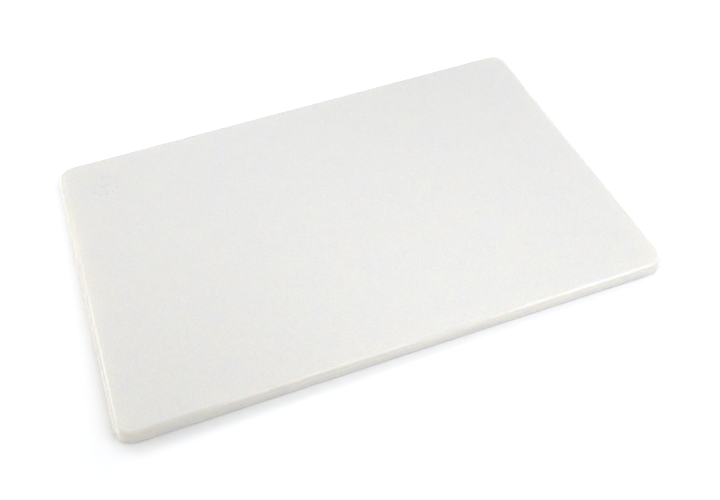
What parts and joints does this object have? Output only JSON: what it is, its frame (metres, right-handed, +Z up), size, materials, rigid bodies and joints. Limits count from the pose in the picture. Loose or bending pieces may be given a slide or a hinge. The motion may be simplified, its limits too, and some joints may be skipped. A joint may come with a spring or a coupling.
{
  "type": "cutting board",
  "caption": "Rectangular white polyethylene cutting board with rounded corners and radiused edges, lying flat as a work surface for knives.",
  "frame": {"origin": "centre of the underside, on the surface that the board lies on", "axes": "+X along the long side, +Y along the short side towards the far edge, +Z up out of the cutting face"},
  "size_m": [0.4572, 0.3048, 0.0127],
  "materials": {
    "board_plastic": "moulded satin polyethylene with a fine stipple on both faces and smooth, slightly glossy edges"
  },
  "bodies": {
    "root": {"board": "board_plastic"}
  },
  "joints": []
}
